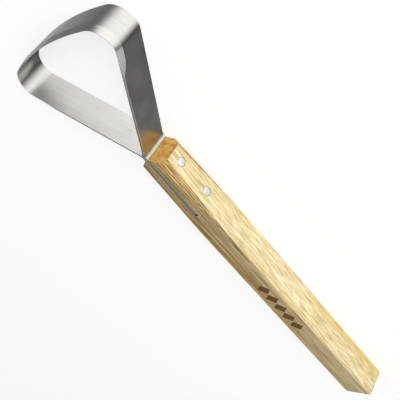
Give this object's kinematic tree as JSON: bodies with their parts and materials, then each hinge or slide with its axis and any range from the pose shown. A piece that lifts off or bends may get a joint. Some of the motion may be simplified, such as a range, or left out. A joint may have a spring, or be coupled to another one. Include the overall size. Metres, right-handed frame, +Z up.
{
  "type": "loop trimming tool",
  "caption": "Hand tool with a rounded-triangle steel band loop, ground on one edge, riveted in the saw kerf of a straight wooden handle, for cutting and hollowing clay.",
  "frame": {"origin": "middle of the whole tool's length and breadth, on the narrow face that it rests on", "axes": "+X along the handle towards the loop, +Z up from the rest face to the ground cutting edge, the riveted broad faces look along +Y and -Y"},
  "size_m": [0.3078, 0.092, 0.019],
  "materials": {
    "handle_wood": "light open-pored hardwood, sanded and left pale, with darker narrow faces and end grain",
    "band_steel": "stainless strip, finely brushed along its length, with a ground cutting bevel",
    "rivet_aluminium": "soft bright rod, peened and sanded flush with the wood"
  },
  "bodies": {
    "root": {"handle": "handle_wood", "blade_loop": "band_steel", "head_rivet": "rivet_aluminium", "rear_rivet": "rivet_aluminium"}
  },
  "joints": []
}
